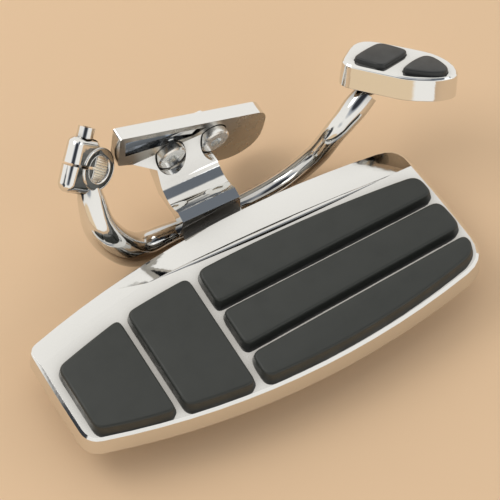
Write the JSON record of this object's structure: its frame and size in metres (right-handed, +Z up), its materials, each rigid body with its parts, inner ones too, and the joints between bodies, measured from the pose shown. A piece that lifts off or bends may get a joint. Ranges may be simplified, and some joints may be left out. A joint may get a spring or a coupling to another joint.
{
  "type": "motorcycle floorboard",
  "caption": "Chromed rider floorboard with rubber tread pads, folding on its frame bracket, with the brake pedal: splined clamp, bent arm and padded head",
  "frame": {"origin": "on the bracket's mounting face, midway between the two frame bolts", "axes": "+X to the front of the motorcycle, +Y towards its frame, +Z up"},
  "size_m": [0.3849, 0.232, 0.1339],
  "materials": {
    "deck_chrome": "polished",
    "bracket_chrome": "polished",
    "pedal_chrome": "polished",
    "pad_rubber": "satin",
    "pedal_rubber": "satin",
    "stop_rubber": "matte",
    "bolt_steel": "satin",
    "fastener_steel": "satin",
    "bush_bronze": "satin"
  },
  "bodies": {
    "bracket": {"bracket": "bracket_chrome", "hinge_bushes": "bush_bronze", "stop_bumpers": "stop_rubber", "mount_bolt_rear": "bolt_steel", "mount_bolt_front": "bolt_steel", "mount_washers": "bolt_steel"},
    "board": {"deck": "deck_chrome", "heel_pad_rear": "pad_rubber", "heel_pad_front": "pad_rubber", "strip_pad_inner": "pad_rubber", "strip_pad_middle": "pad_rubber", "strip_pad_outer": "pad_rubber", "pad_studs": "fastener_steel", "pad_washers": "fastener_steel", "pad_nuts": "fastener_steel", "hinge_pin": "fastener_steel", "hinge_clip": "fastener_steel", "hinge_washers": "fastener_steel"},
    "pedal": {"brake_arm": "pedal_chrome", "pinch_bolt": "bolt_steel", "pedal_cover": "pedal_chrome", "cover_screws": "fastener_steel", "pedal_pad_inner": "pedal_rubber", "pedal_pad_outer": "pedal_rubber"}
  },
  "joints": [
    {"name": "board_fold", "type": "hinge", "parent": "bracket", "child": "board", "pos_m": [-0.00995, -0.075, -0.0384], "axis": [-1, 0, 0], "range_deg": [0, 36]},
    {"name": "pedal_press", "type": "hinge", "parent": "bracket", "child": "pedal", "pos_m": [-0.07695, -0.011, 0.0326], "axis": [-0.3857, 0.807, -0.4472], "range_deg": [0, 5], "stiffness_Nm_per_rad": 5, "springref_deg": -28.65}
  ]
}
